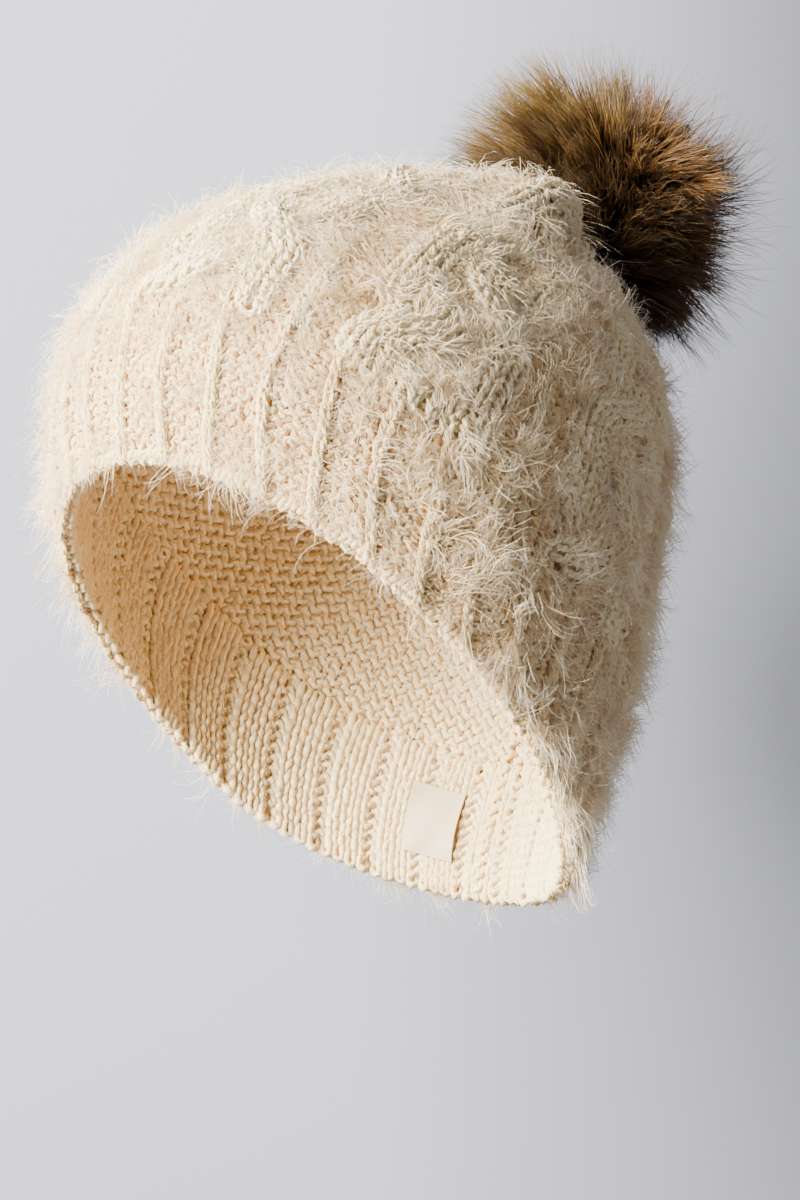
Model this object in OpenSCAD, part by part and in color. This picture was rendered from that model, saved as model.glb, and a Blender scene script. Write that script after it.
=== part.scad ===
// Knitted pom pom beanie, as worn: +Z is up, the forehead faces -Y and the
// wearer's left is +X. The origin is the centre of the brim's opening.
// Every knitted shape is first built upright, with the brim level, and then
// tipped by brim_tilt so that the nape side hangs low.

/* [Brim] */
// Half the outside width of the brim, across the head
brim_half_w = 91; // [84:1:98]
// Half the outside length of the brim, forehead to nape
brim_half_l = 107; // [100:1:114]
// How far the brim dips from forehead to nape, in degrees
brim_tilt = 47; // [30:1:55]
// How far the nape of the brim is drawn up towards level
nape_rise = 12; // [0:1:18]
// Thickness of the knitted fabric
wall = 8; // [6:0.5:9]
// Radius of the rolled cast-on edge
edge_r = 3; // [2:0.5:3.5]

/* [Crown] */
// Height of the crown above the plane of the brim
crown_up = 180; // [165:1:195]
// How far the crown's centre lies in front of the brim's centre
crown_fwd = 17; // [0:1:25]
// Share of the height taken by the ribbed band
band_share = 0.3; // [0.2:0.01:0.35]
// How much wider the slouchy middle is than the brim
swell = 0.09; // [0:0.01:0.15]
// Depth of the dish that the gathered stitches pull into the crown
dish_depth = 10; // [8:0.5:12]
// Radius of that dish
dish_r = 36; // [32:1:40]
// Radius of the hole that the last row of stitches closes
gather_r = 14; // [12:0.5:16]

/* [Pom] */
// Radius of the brushed-out fur
pile_r = 46; // [42:1:48]
// Height of the pom's centre above the gathered stitches
pom_up = 31; // [29:1:34]
// Radius of the stuffed backing ball that carries the fur
ball_r = 18; // [15:0.5:18]

/* [Snap] */
// Radius of the snap's socket
socket_r = 6.4; // [6:0.1:7]
// Height of the socket above the crown
socket_h = 4.4; // [4.2:0.1:4.6]
// Radius of the stud's head
stud_r = 2.45; // [2.2:0.05:2.45]

/* [Hidden] */
$fn = 64;

round_r = (brim_half_w + brim_half_l) / 2;
// control point that pushes the middle of the hat over the forehead
shoulder_up = 0.256 * crown_up;
shoulder_fwd = 54;
// the swelling ends, and the rounding over of the crown is set, by these
swell_end = 0.81;
round_start = 2.7;
round_sharp = 2.45;
// the part of the brim that the nape's rise reaches, as a cosine
nape_edge = 0.5;

// mesh of the knitted shell
turn = 6;
angles = [for (t = [0 : turn : 359]) t];
band_rows = 6;
crown_rows = 20;
top_crowding = 2.2;

seam_w = 3;
seam_h = 2.4;
seam_gap = 0.3;
label_gap = 0.4;
label_t = 1;
stitch_r = 0.7;

felt_t = 2;
cap_t = 2.5;
post_r = 2.9;
post_bore = 2.2;
hole_r = 3.1;
flare_r = 3.6;
plate_t = 0.8;
socket_bore = 2.7;
groove_r = 3.9;
groove_z = 2.4;
groove_h = 1;
spring_in = 2.6;
spring_out = 3.5;
spring_t = 0.7;
spring_split = 0.8;

stud_z = 1.9;
neck_r = 2.2;
stud_flange_r = 6.2;
stud_flange_z = socket_h + 0.2;
stud_flange_t = 0.8;
stud_felt_z = stud_flange_z + stud_flange_t;
stud_felt_r = 12;
stud_felt_t = 1.5;
stud_cap_z = stud_felt_z + stud_felt_t;
stud_cap_t = 1.2;
pin_r = 1.2;

knot_z = 10.3;
knot_r = 1.6;
knot_l = 3.4;
thread_z = 13.2;
thread_ring_r = 4.4;
thread_r = 0.6;
backing_t = 1.5;
neck_hole_r = 3.4;
underside_z = 11;
underside_slope = 6;
pile_hole_r = 8;
pile_gap = 0.1;

// ---- the knitted surface, upright ----
// s runs from 0 at the brim to 1 at the centre of the crown, t is the angle
// from the forehead towards the wearer's left, and inset is the depth below
// the outside of the fabric
function ring_scale(s) =
    (1 + swell * sin(180 * min(1, s / swell_end)))
    * pow(max(0, 1 - pow(s, round_start)), 1 / round_sharp);
function row_fwd(s) = 2 * s * (1 - s) * shoulder_fwd + s * s * crown_fwd;
function row_up(s) = 2 * s * (1 - s) * shoulder_up + s * s * crown_up;
function dish(r) = r < dish_r ? dish_depth * (1 + cos(180 * r / dish_r)) / 2 : 0;
function nape_lift(s, t) =
    nape_rise * pow((1 - s) * max(0, -cos(t) - nape_edge) / (1 - nape_edge), 2);
function half_w(s) = brim_half_w + (round_r - brim_half_w) * pow(s, 4);
function half_l(s) = brim_half_l + (round_r - brim_half_l) * pow(s, 4);
function on_hat(s, t, inset) =
    [(half_w(s) - inset) * ring_scale(s) * sin(t),
     -row_fwd(s) - (half_l(s) - inset) * ring_scale(s) * cos(t),
     row_up(s) - inset * s * s - dish(ring_scale(s) * round_r) + nape_lift(s, t)];
// the row whose stitches stand at radius r, near the centre of the crown
function row_at(r) = pow(1 - pow(r / round_r, round_sharp), 1 / round_start);

band_list = [for (i = [0 : band_rows]) band_share * i / band_rows];
top_row = row_at(gather_r);
crown_list = [for (i = [0 : crown_rows])
    top_row - (top_row - band_share) * pow(1 - i / crown_rows, top_crowding)];
gather_floor = crown_up - dish_depth;
// the stitches that fill the hole, and the yarn drawn through them
gather_in = (round_r - wall) * ring_scale(top_row) - 0.3;
yarn_r = 0.95;
gather_top_r = gather_in - 2 * yarn_r - 0.1;

// a closed band of fabric through the given rows, all the way round
module knit_ring(rows, skin, lining) {
    n = len(angles);
    m = len(rows);
    points = concat(
        [for (s = rows) for (t = angles) on_hat(s, t, skin)],
        [for (s = rows) for (t = angles) on_hat(s, t, lining)]);
    function at(side, i, j) = side * m * n + i * n + j % n;
    faces = concat(
        [for (i = [0 : m - 2]) for (j = [0 : n - 1])
            [at(0, i, j), at(0, i + 1, j), at(0, i + 1, j + 1), at(0, i, j + 1)]],
        [for (i = [0 : m - 2]) for (j = [0 : n - 1])
            [at(1, i, j), at(1, i, j + 1), at(1, i + 1, j + 1), at(1, i + 1, j)]],
        [for (j = [0 : n - 1]) [at(0, 0, j), at(0, 0, j + 1), at(1, 0, j + 1), at(1, 0, j)]],
        [for (j = [0 : n - 1])
            [at(0, m - 1, j), at(1, m - 1, j), at(1, m - 1, j + 1), at(0, m - 1, j + 1)]]);
    polyhedron(points, faces, convexity = 6);
}

// a strip that lies along the hat between two depths, over the given rows and angles
module knit_patch(rows, turns, skin, lining) {
    n = len(turns);
    m = len(rows);
    points = concat(
        [for (s = rows) for (t = turns) on_hat(s, t, skin)],
        [for (s = rows) for (t = turns) on_hat(s, t, lining)]);
    function at(side, i, j) = side * m * n + i * n + j;
    faces = concat(
        [for (i = [0 : m - 2]) for (j = [0 : n - 2])
            [at(0, i, j), at(0, i + 1, j), at(0, i + 1, j + 1), at(0, i, j + 1)]],
        [for (i = [0 : m - 2]) for (j = [0 : n - 2])
            [at(1, i, j), at(1, i, j + 1), at(1, i + 1, j + 1), at(1, i + 1, j)]],
        [for (j = [0 : n - 2]) [at(0, 0, j), at(0, 0, j + 1), at(1, 0, j + 1), at(1, 0, j)]],
        [for (j = [0 : n - 2])
            [at(0, m - 1, j), at(1, m - 1, j), at(1, m - 1, j + 1), at(0, m - 1, j + 1)]],
        [for (i = [0 : m - 2]) [at(0, i, 0), at(1, i, 0), at(1, i + 1, 0), at(0, i + 1, 0)]],
        [for (i = [0 : m - 2])
            [at(0, i, n - 1), at(0, i + 1, n - 1), at(1, i + 1, n - 1), at(1, i, n - 1)]]);
    polyhedron(points, faces, convexity = 6);
}

// tips an upright shape to the way the hat is worn
module worn() {
    rotate([-brim_tilt, 0, 0]) children();
}

// stands a shape on the gathered stitches, with its own +Z out of the crown
module on_crown() {
    worn() translate([0, -crown_fwd, gather_floor]) children();
}

module ring(outer, inner, height) {
    difference() {
        cylinder(r = outer, h = height);
        translate([0, 0, -1]) cylinder(r = inner, h = height + 2);
    }
}

// a low dome of pressed metal, with its flat side down
module dome(r, h) {
    steps = 8;
    rim = [for (k = [0 : steps]) [r * k / steps, h * sqrt(1 - pow(k / steps, 2))]];
    rotate_extrude() polygon(concat([[0, 0]], rim));
}

// ---- the hat ----
module rib_band() {
    color("linen") worn() knit_ring(band_list, 0, wall);
}

module cable_crown() {
    color("antiquewhite") worn() knit_ring(crown_list, 0, wall);
}

// the rolled edge hangs just below the first row of the band
module cast_on_edge() {
    sides = 8;
    n = len(angles);
    points = [for (t = angles) for (k = [0 : sides - 1])
        let (a = 360 * k / sides)
        on_hat(0, t, wall / 2)
            + edge_r * cos(a) * [sin(t), -cos(t), 0]
            + [0, 0, edge_r * sin(a) - edge_r - 0.2]];
    faces = [for (j = [0 : n - 1]) for (k = [0 : sides - 1])
        let (j2 = (j + 1) % n, k2 = (k + 1) % sides)
        [j * sides + k, j * sides + k2, j2 * sides + k2, j2 * sides + k]];
    color("wheat") worn() polyhedron(points, faces, convexity = 6);
}

// the ridge inside where the two edges of the knitting are sewn together
module back_seam() {
    rows = [for (i = [0 : 24]) 0.01 + 0.95 * i / 24];
    turns = [180 - seam_w / 2, 180, 180 + seam_w / 2];
    color("tan") worn() knit_patch(rows, turns, wall + seam_gap, wall + seam_gap + seam_h);
}

label_rows = [for (i = [0 : 4]) 0.08 + 0.045 * i];
label_turns = [for (i = [0 : 4]) 188 + 3.2 * i];

module care_label() {
    skin = wall + label_gap;
    color("white") worn() knit_patch(label_rows, label_turns, skin, skin + label_t);
}

module label_stitches() {
    over = wall + label_gap + label_t + stitch_r;
    color("ivory") worn()
        for (t = label_turns)
            translate(on_hat(label_rows[4] - 0.012, t, over + 0.1)) sphere(r = stitch_r, $fn = 24);
}

// the last stitches, drawn together round the snap's post
module crown_gather() {
    color("bisque") on_crown() difference() {
        union() {
            translate([0, 0, -wall]) cylinder(r = gather_in, h = wall - 3);
            translate([0, 0, -4]) cylinder(r = gather_top_r, h = 4);
        }
        translate([0, 0, -wall - 1]) cylinder(r = hole_r, h = wall + 2);
    }
}

module drawn_yarn() {
    color("burlywood") on_crown() translate([0, 0, 0.1 - 2 * yarn_r])
        rotate_extrude() translate([gather_in - yarn_r, 0]) circle(r = yarn_r, $fn = 24);
}

// ---- the socket half of the snap, riveted through the crown ----
module crown_felt() {
    color("gainsboro") on_crown() translate([0, 0, -wall - felt_t])
        ring(gather_in, hole_r, felt_t);
}

module socket_cap() {
    color("silver") on_crown() {
        translate([0, 0, -wall - felt_t]) mirror([0, 0, 1]) dome(socket_r, cap_t);
        difference() {
            union() {
                translate([0, 0, -wall - felt_t - 0.4]) cylinder(r = post_r, h = wall + felt_t + 1.4);
                translate([0, 0, plate_t + 0.05]) cylinder(r = flare_r, h = 0.4);
            }
            translate([0, 0, -wall]) cylinder(r = post_bore, h = wall + 3);
        }
    }
}

module snap_socket() {
    color("silver") on_crown() difference() {
        cylinder(r = socket_r, h = socket_h);
        translate([0, 0, -1]) cylinder(r = hole_r, h = 3);
        translate([0, 0, plate_t]) cylinder(r = flare_r + 0.2, h = 0.8);
        translate([0, 0, 1.5]) cylinder(r = socket_bore, h = socket_h);
        translate([0, 0, groove_z]) cylinder(r = groove_r, h = groove_h);
    }
}

// the split ring that grips the stud, drawn sprung open
module socket_spring() {
    color("dimgray") on_crown() translate([0, 0, groove_z + (groove_h - spring_t) / 2])
        difference() {
            ring(spring_out, spring_in, spring_t);
            translate([0, -spring_split / 2, -1]) cube([spring_out + 1, spring_split, 3]);
        }
}

// ---- the stud half of the snap, riveted to the pom's felt ----
module snap_stud() {
    color("silver") on_crown() difference() {
        union() {
            translate([0, 0, stud_z]) cylinder(r = stud_r, h = 0.9);
            translate([0, 0, stud_z]) cylinder(r = neck_r, h = stud_flange_z - stud_z + 0.1);
            translate([0, 0, stud_flange_z]) cylinder(r = stud_flange_r, h = stud_flange_t);
        }
        translate([0, 0, stud_z + 1]) cylinder(r = pin_r + 0.1, h = socket_h);
    }
}

module stud_felt() {
    color("saddlebrown") on_crown() translate([0, 0, stud_felt_z])
        ring(stud_felt_r, pin_r + 0.1, stud_felt_t);
}

module stud_cap() {
    color("silver") on_crown() {
        translate([0, 0, stud_cap_z]) dome(stud_flange_r - 0.2, stud_cap_t);
        translate([0, 0, stud_z + 1.2]) cylinder(r = pin_r, h = stud_cap_z - stud_z - 0.8);
    }
}

// ---- the pom ----
// two crossed wraps of thread that tie the pom to the felt, and that it tips on
module tie_knot() {
    color("black") on_crown() translate([0, 0, knot_z])
        for (turned = [0, 90])
            rotate([0, 90, turned]) cylinder(r = knot_r, h = knot_l, center = true);
}

module gather_thread() {
    color("black") on_crown() translate([0, 0, thread_z - thread_r])
        rotate_extrude() translate([thread_ring_r, 0]) circle(r = thread_r, $fn = 24);
}

module fur_backing() {
    color("sienna") on_crown() difference() {
        translate([0, 0, pom_up]) sphere(r = ball_r);
        translate([0, 0, pom_up]) sphere(r = ball_r - backing_t);
        translate([0, 0, pom_up - ball_r - 1]) cylinder(r = neck_hole_r, h = 5);
        translate([0, 0, thread_z - 2 * thread_r - 1])
            cylinder(r = thread_ring_r + thread_r + 0.1, h = 2 * thread_r + 1.1);
    }
}

module stuffing() {
    color("whitesmoke") on_crown() translate([0, 0, pom_up]) sphere(r = ball_r - backing_t - 0.1);
}

// the standing fur, hollow round its backing and hollowed underneath so that it
// clears the crown as the pom tips
module fur_pile() {
    cone_h = 80;
    color("peru") on_crown() difference() {
        intersection() {
            translate([0, 0, pom_up]) sphere(r = pile_r);
            translate([0, 0, underside_z]) cylinder(r = pile_r + 10, h = 2 * pile_r);
            translate([0, 0, underside_z - stud_felt_r * tan(underside_slope)])
                cylinder(r1 = 0.01, r2 = cone_h / tan(underside_slope), h = cone_h);
        }
        translate([0, 0, pom_up]) sphere(r = ball_r + pile_gap);
        translate([0, 0, underside_z - 1]) cylinder(r = pile_hole_r, h = 8);
    }
}

rib_band();
cable_crown();
cast_on_edge();
back_seam();
care_label();
label_stitches();
crown_gather();
drawn_yarn();
crown_felt();
socket_cap();
snap_socket();
socket_spring();
snap_stud();
stud_felt();
stud_cap();
tie_knot();
gather_thread();
fur_backing();
stuffing();
fur_pile();
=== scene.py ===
import math

import bpy
import numpy as np
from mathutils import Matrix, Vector


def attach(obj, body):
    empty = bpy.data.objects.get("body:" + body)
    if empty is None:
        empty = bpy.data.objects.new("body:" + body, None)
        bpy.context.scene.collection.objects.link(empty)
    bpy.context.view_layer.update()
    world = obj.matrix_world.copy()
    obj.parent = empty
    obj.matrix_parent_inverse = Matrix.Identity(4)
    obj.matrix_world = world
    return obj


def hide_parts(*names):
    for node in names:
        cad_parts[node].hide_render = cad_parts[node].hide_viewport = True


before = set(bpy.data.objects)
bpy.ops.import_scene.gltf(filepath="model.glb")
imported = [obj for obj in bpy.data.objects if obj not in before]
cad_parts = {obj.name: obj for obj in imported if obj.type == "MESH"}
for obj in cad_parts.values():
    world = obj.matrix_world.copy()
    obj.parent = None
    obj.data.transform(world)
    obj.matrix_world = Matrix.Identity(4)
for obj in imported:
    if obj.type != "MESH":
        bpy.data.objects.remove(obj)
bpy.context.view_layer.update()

# A knitted pom pom beanie. The yarn, its eyelash fibres and the pom's fur are real
# geometry, laid on the same surface that the CAD model is built on. Lengths are in
# millimetres until a mesh is made, and angles in radians.
MM = 0.001

# ---- the hat's shape, as in the CAD ----
BRIM_HALF_W = 91.0        # half the brim's outside width
BRIM_HALF_L = 107.0       # and half its length, forehead to nape
BRIM_TILT = math.radians(47)    # how far the brim dips from forehead to nape
NAPE_RISE = 12.0          # how far the nape of the brim is drawn up towards level
NAPE_EDGE = 0.5           # the part of the brim that this reaches, as a cosine
CROWN_UP = 180.0          # the crown above the brim's middle, along the hat's own axis
CROWN_FWD = 17.0          # and how far in front of it
SHOULDER_UP = 0.256 * CROWN_UP    # the control point that bends the axis forwards
SHOULDER_FWD = 54.0
SWELL = 0.09              # how much wider the slouchy middle is than the brim
SWELL_END = 0.81          # the s at which the swelling ends
ROUND_START = 2.7         # powers that set where the crown starts to round over,
ROUND_SHARP = 2.45        # and how sharply
DISH_DEPTH = 10.0         # the dish that the gathered stitches pull into the crown
DISH_R = 36.0
GATHER_R = 14.0           # the hole that the last row of stitches closes
ROUND_R = (BRIM_HALF_W + BRIM_HALF_L) / 2
CROWN_FLOOR = CROWN_UP - DISH_DEPTH
TOP_ROW = (1 - (GATHER_R / ROUND_R) ** ROUND_SHARP) ** (1 / ROUND_START)
CORNER_RISE = 7.5         # how far one corner of the drawn-up crown stands up
CORNER_TURN = 32          # where round the hat that corner is, in degrees
CORNER_UP = 186           # and how far up
CORNER_WIDE = 14          # how wide it is, in degrees
CORNER_TALL = 20          # and how tall
SLACK_FALL = 11.0         # how far the side next to it falls in
SLACK_FROM = 40           # from where round the hat to where, in degrees
SLACK_TO = 150
SLACK_UP = 135            # and above what distance up
PUCKERS = 9               # small folds round the gathered crown
PUCKER_RISE = 0.9

# ---- the knitting ----
PANELS = 8                # cable panels round the hat
RIBS = 4                  # ribs of the band under each panel
RIB_WALES = 4             # one raised wale and three sunken ones
PANEL_TURN = math.radians(24)   # where the first panel starts
ROW_H = 4.1               # from one row to the next
BAND_ROWS = 12            # rows of the band, before the plaits begin
YARN_R = 1.38             # the yarn of the band and the inside
CABLE_YARN_R = 1.5        # and the fuller yarn of the plaits
PLIES = 3                 # strands in a yarn
PLY_PITCH = 9.0           # length of one turn of their twist
PLY_OUT = 0.46            # how far a strand lies from the yarn's middle, and its
PLY_THICK = 0.60          # radius, as shares of the yarn's radius
LOOP_DEPTH = 1.0          # how far a loop goes in and out of the fabric
LOOP_TALL = 0.88          # how far it reaches up and down from its row's middle, in rows
RIDGE_RISE = 1.5          # how far a rib's raised wale stands above its sunken ones
RIDGE_WIDTH = 0.28        # how wide that wale is, as 1 - cos of its angle in the rib
RIDGE_WALE = 1.5          # where its middle is in the rib, in wales
SUNKEN = 1.1              # how far the sunken wales lie in from the fabric's middle
FABRIC_DEPTH = 2.9        # from the CAD surface to the middle of the yarn
CORE_BAND = 0.6           # how far the fabric's middle lies under the yarn's, in the band
CORE_CABLE = 1.8          # and under the cables
INNER_DEPTH = 5.3         # from the CAD surface to the loops on the inside
INNER_LOOP = 0.8          # how far those go in and out
STITCH_W = 4.3            # narrowest stitch of the outside; past it a row has fewer
INNER_STITCH_W = 4.4      # and of the inside

# ---- the pom ----
BALL_R = 18.0             # the stuffed ball
POM_UP = 31.0             # from the gathered stitches to the ball's middle
FUR_POINTS = 7            # points along a strand of fur
FUR_TAPER = (1, 1, 1, 0.95, 0.8, 0.55, 0.15)    # and its thickness at each

# ---- the most triangles in one piece ----
YARN_TRIANGLES = 190000
FIBRE_TRIANGLES = 195000

rng = np.random.default_rng(7)


# ========================================
# the surface of the hat
# ========================================
def tip(p):
    """Tips upright points to the way that the hat is worn."""
    c, s = math.cos(BRIM_TILT), math.sin(BRIM_TILT)
    x, y, z = p[..., 0], p[..., 1], p[..., 2]
    return np.stack([x, y * c + z * s, -y * s + z * c], -1)


def ring_scale(s):
    """How wide the hat is at s, where the brim is 1."""
    swell = 1 + SWELL * np.sin(np.pi * np.minimum(1, s / SWELL_END))
    return swell * np.maximum(1e-6, 1 - s ** ROUND_START) ** (1 / ROUND_SHARP)


def on_hat(s, t):
    """A point on the outside of the fabric: s from 0 at the brim to 1 at the crown, t round."""
    s, t = np.broadcast_arrays(np.asarray(s, float), np.asarray(t, float))
    ring = ring_scale(s)
    half_w = BRIM_HALF_W + (ROUND_R - BRIM_HALF_W) * s ** 4
    half_l = BRIM_HALF_L + (ROUND_R - BRIM_HALF_L) * s ** 4
    fwd = 2 * s * (1 - s) * SHOULDER_FWD + s * s * CROWN_FWD
    up = 2 * s * (1 - s) * SHOULDER_UP + s * s * CROWN_UP
    dish = DISH_DEPTH * (1 + np.cos(np.pi * np.minimum(1, ring * ROUND_R / DISH_R))) / 2
    lift = NAPE_RISE * ((1 - s) * np.maximum(0, -np.cos(t) - NAPE_EDGE) / (1 - NAPE_EDGE)) ** 2
    upright = [half_w * ring * np.sin(t), -fwd - half_l * ring * np.cos(t), up - dish + lift]
    return tip(np.stack(upright, -1))


def unit(v):
    return v / np.maximum(1e-9, np.linalg.norm(v, axis=-1, keepdims=True))


def hat_frame(s, t):
    """The point on the hat, the way round it, the way up it and the way out of it."""
    ds, dt = 1e-3, 1e-3
    s = np.clip(np.asarray(s, float), 0.0, TOP_ROW)
    p = on_hat(s, t)
    around = unit(on_hat(s, t + dt) - on_hat(s, t - dt))
    upward = unit(on_hat(np.minimum(s + ds, 0.9995), t) - on_hat(np.maximum(s - ds, 0), t))
    out = unit(np.cross(around, upward))
    upward = np.cross(out, around)
    return p, around, upward, out


# the mean distance up the hat, so that rows are evenly spaced
table_s = np.linspace(0, TOP_ROW, 500)
table_up = np.mean([
    np.r_[0, np.cumsum(np.linalg.norm(np.diff(on_hat(table_s, turn), axis=0), axis=-1))]
    for turn in np.linspace(0, 2 * np.pi, 24, endpoint=False)], axis=0)
HAT_LENGTH = table_up[-1]
ROWS = int(HAT_LENGTH / ROW_H)


def height_to_s(up):
    """s at a mean distance up the hat; below the brim it runs on in a straight line."""
    slope = (table_s[5] - table_s[0]) / (table_up[5] - table_up[0])
    return np.where(up < 0, up * slope, np.interp(up, table_up, table_s))


def smooth(x):
    """0 below 0, 1 above 1, and a smooth step between."""
    x = np.clip(x, 0, 1)
    return x * x * (3 - 2 * x)


def crown_folds(up, t):
    """How the drawn-up crown is puckered: a corner that stands up, a slack side, small folds."""
    turn = np.degrees((t + np.pi) % (2 * np.pi) - np.pi)
    corner = CORNER_RISE * np.exp(-((turn - CORNER_TURN) / CORNER_WIDE) ** 2)
    corner = corner * np.exp(-((up - CORNER_UP) / CORNER_TALL) ** 2)
    slack = smooth((turn - SLACK_FROM) / 18) * smooth((SLACK_TO - turn) / 40)
    slack = SLACK_FALL * slack * smooth((up - SLACK_UP) / 45) * smooth((HAT_LENGTH - 3 - up) / 20)
    small = PUCKER_RISE * np.sin(PUCKERS * t + 1.3) * np.exp(-((up - HAT_LENGTH + 24) / 14) ** 2)
    return corner - slack + small


def lay(up, t, lift):
    """Points at a distance up the hat and an angle round it, lift above the outside."""
    s = height_to_s(up)
    p, _, upward, out = hat_frame(s, t)
    below = np.minimum(0, up)[..., None]
    lift = lift + crown_folds(up, t)
    return p + out * lift[..., None] + upward * below, out


# ========================================
# meshes
# ========================================
def placed(name, data):
    """A new object in the scene, made of a mesh, a camera or a light."""
    obj = bpy.data.objects.new(name, data)
    bpy.context.scene.collection.objects.link(obj)
    return obj


def tube_corners(n, m, sides):
    """The corners of every face of n tubes: first the quads along them, then their two caps."""
    index = np.arange(n * m * sides, dtype=np.int32).reshape(n, m, sides)
    turned = np.roll(index, -1, axis=2)
    quads = np.stack([index[:, :-1], turned[:, :-1], turned[:, 1:], index[:, 1:]], -1)
    caps = np.stack([index[:, 0, ::-1], index[:, -1]], 1)
    return quads.reshape(-1), caps.reshape(-1)


def make_tubes(name, paths, radii, sides, facing, extra=None):
    """One mesh of many closed tubes. paths is tubes x points x 3, in mm."""
    n, m, _ = paths.shape
    radii = np.broadcast_to(radii, (n, m))
    facing = np.broadcast_to(facing, paths.shape)
    along = unit(np.gradient(paths, axis=1))
    side = unit(np.cross(along, facing))
    lift = np.cross(side, along)
    a = 2 * np.pi * np.arange(sides) / sides
    ring = (side[:, :, None, :] * np.cos(a)[None, None, :, None]
            + lift[:, :, None, :] * np.sin(a)[None, None, :, None])
    verts = paths[:, :, None, :] + ring * radii[:, :, None, None]
    quads, caps = tube_corners(n, m, sides)
    loops = np.concatenate([quads, caps])
    starts = np.concatenate([
        4 * np.arange(quads.size // 4),
        quads.size + sides * np.arange(2 * n)])
    mesh = bpy.data.meshes.new(name)
    mesh.vertices.add(n * m * sides)
    mesh.vertices.foreach_set("co", (verts * MM).astype(np.float32).ravel())
    mesh.loops.add(len(loops))
    mesh.loops.foreach_set("vertex_index", loops.astype(np.int32))
    mesh.polygons.add(len(starts))
    mesh.polygons.foreach_set("loop_start", starts.astype(np.int32))
    mesh.update(calc_edges=True)
    mesh.polygons.foreach_set("use_smooth", np.ones(len(starts), bool))
    mesh.validate()
    # the strip of the bake map that a tube takes, and how far along it a point lies
    strip = rng.random(n)
    far = np.linspace(0, 1, m)
    u = np.broadcast_to(strip[:, None, None] * 0.98 + 0.01, (n, m, sides)).ravel()
    v = np.broadcast_to(far[None, :, None] * 0.98 + 0.01, (n, m, sides)).ravel()
    uv = np.stack([u, v], -1)[loops]
    quad_shift = np.tile([0, 0.004, 0.004, 0], quads.size // 4)
    uv[:quads.size, 0] += quad_shift
    layer = mesh.uv_layers.new(name="OFBake")
    layer.data.foreach_set("uv", uv.astype(np.float32).ravel())
    point_values(mesh, "along", np.broadcast_to(far[None, :, None], (n, m, sides)))
    for key, value in (extra or {}).items():
        point_values(mesh, key, np.broadcast_to(value[:, :, None], (n, m, sides)))
    return placed(name, mesh)


def point_values(mesh, name, values):
    """Stores a number at each point, for a material to read."""
    layer = mesh.attributes.new(name, "FLOAT", "POINT")
    layer.data.foreach_set("value", np.ascontiguousarray(values, dtype=np.float32).ravel())


def in_parts(name, most, paths, radii, sides, facing, extra=None):
    """Tubes in as many pieces as keep each under a number of triangles."""
    n, m, _ = paths.shape
    each = max(1, int(most / (2 * sides * m)))
    count = math.ceil(n / each)
    radii = np.broadcast_to(radii, (n, m))
    facing = np.broadcast_to(facing, paths.shape)
    out = []
    for k, part in enumerate(np.array_split(np.arange(n), count)):
        some = {key: value[part] for key, value in (extra or {}).items()}
        tubes = make_tubes(f"{name}_{k + 1}", paths[part], radii[part], sides, facing[part], some)
        out.append(tubes)
    return out


def plied(paths, facing, radius, extra):
    """Splits each yarn into strands that are twisted round each other."""
    step = np.linalg.norm(np.diff(paths, axis=1), axis=-1)
    run = np.concatenate([np.zeros((len(paths), 1)), np.cumsum(step, axis=1)], axis=1)
    along = unit(np.gradient(paths, axis=1))
    side = unit(np.cross(along, facing))
    lift = np.cross(side, along)
    strands = []
    for ply in range(PLIES):
        turn = (2 * np.pi * (run / PLY_PITCH + ply / PLIES))[..., None]
        strands.append(paths + PLY_OUT * radius * (side * np.cos(turn) + lift * np.sin(turn)))
    every = {key: np.concatenate([value] * PLIES) for key, value in extra.items()}
    return np.concatenate(strands), PLY_THICK * radius, np.concatenate([facing] * PLIES), every


# ========================================
# materials
# ========================================
def new_material(name, roughness, **sockets):
    """A material with the shader's own sockets set. An underscore stands for a space."""
    mat = bpy.data.materials.new(name)
    mat.use_nodes = True
    shader = mat.node_tree.nodes["Principled BSDF"]
    shader.inputs["Roughness"].default_value = roughness
    for key, value in sockets.items():
        shader.inputs[key.replace("_", " ")].default_value = value
    return mat


def node(mat, kind, **values):
    made = mat.node_tree.nodes.new(kind)
    for key, value in values.items():
        setattr(made, key, value)
    return made


def link(mat, a, b):
    mat.node_tree.links.new(a, b)


def noise(mat, scale, detail=3.0):
    made = node(mat, "ShaderNodeTexNoise")
    made.inputs["Scale"].default_value = scale
    made.inputs["Detail"].default_value = detail
    place = node(mat, "ShaderNodeTexCoord")
    link(mat, place.outputs["Object"], made.inputs["Vector"])
    return made


def ramp(mat, factor, stops):
    made = node(mat, "ShaderNodeValToRGB")
    bar = made.color_ramp
    while len(bar.elements) < len(stops):
        bar.elements.new(0.5)
    for element, (place, colour) in zip(bar.elements, stops):
        element.position = place
        element.color = (*colour, 1)
    link(mat, factor, made.inputs["Fac"])
    return made


def mix(mat, factor, a, b, kind="MIX"):
    made = node(mat, "ShaderNodeMix", data_type="RGBA", blend_type=kind)
    if isinstance(factor, float):
        made.inputs["Factor"].default_value = factor
    else:
        link(mat, factor, made.inputs["Factor"])
    for value, socket in ((a, made.inputs["A"]), (b, made.inputs["B"])):
        if isinstance(value, tuple):
            socket.default_value = (*value, 1)
        else:
            link(mat, value, socket)
    return made.outputs["Result"]


def attribute(mat, name):
    return node(mat, "ShaderNodeAttribute", attribute_name=name).outputs["Fac"]


def bump(mat, height, strength, distance):
    made = node(mat, "ShaderNodeBump")
    made.inputs["Strength"].default_value = strength
    made.inputs["Distance"].default_value = distance
    link(mat, height, made.inputs["Height"])
    link(mat, made.outputs["Normal"], mat.node_tree.nodes["Principled BSDF"].inputs["Normal"])


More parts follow.
